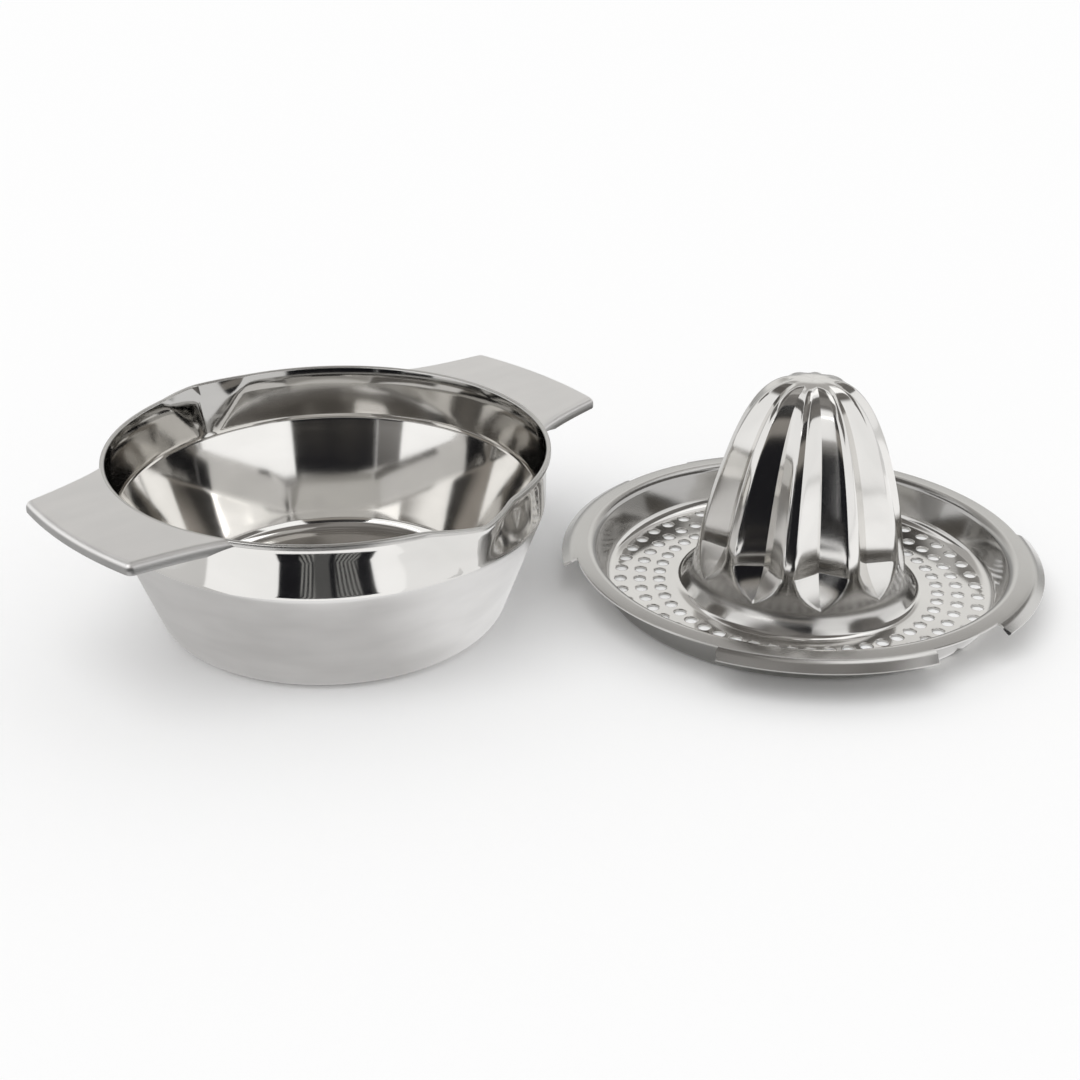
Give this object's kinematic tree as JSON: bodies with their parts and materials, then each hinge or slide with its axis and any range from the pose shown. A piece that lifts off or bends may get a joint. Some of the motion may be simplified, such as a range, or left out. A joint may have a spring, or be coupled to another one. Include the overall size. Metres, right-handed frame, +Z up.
{
  "type": "citrus squeezer",
  "caption": "Hand citrus squeezer in stainless steel: flared bowl with flat handles and pouring lips, and a lift-off fluted reamer on a perforated strainer that hangs on the bowl's rim.",
  "frame": {"origin": "centre of the bowl's flat underside, on the surface that both pieces stand on", "axes": "+Z up along the bowl's axis; +X from the bowl towards the reamer that stands beside it, level, as in the picture"},
  "size_m": [0.3201, 0.174, 0.0739],
  "materials": {
    "polished_steel": "mirror polished stainless steel sheet, with a fine satin grain on the bowl's lower wall",
    "satin_steel": "matte satin stainless steel sheet"
  },
  "bodies": {
    "bowl": {"bowl": "polished_steel", "handle_left": "satin_steel", "handle_right": "satin_steel"},
    "reamer": {"reamer_strainer": "polished_steel"}
  },
  "joints": [
    {"name": "reamer_lift", "type": "slide", "parent": "bowl", "child": "reamer", "axis": [0.2417, 0.0199, 0.9701], "range_m": [0, 0.08]}
  ]
}
